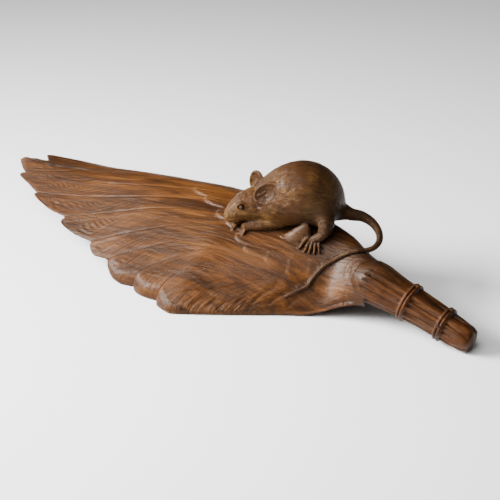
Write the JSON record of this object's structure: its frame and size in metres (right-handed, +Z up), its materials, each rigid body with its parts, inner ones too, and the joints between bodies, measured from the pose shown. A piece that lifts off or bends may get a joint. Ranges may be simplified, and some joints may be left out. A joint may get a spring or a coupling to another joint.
{
  "type": "rat okimono",
  "caption": "carved wooden table ornament of a rat crouching on a bird's-wing feather brush, its tail curled round onto the wing beside the cord-bound handle",
  "frame": {"origin": "centre of the bounding box in plan, on the table the carving stands on", "axes": "+X along the wing from the feather tips to the handle, +Y from the near edge to the far leading edge, +Z up"},
  "size_m": [0.427, 0.1364, 0.0947],
  "materials": {
    "carved_wood": "oiled dark brown hardwood with a worn satin patina, darker on the rat"
  },
  "bodies": {
    "root": {"rat_on_feather_brush": "carved_wood"}
  },
  "joints": []
}
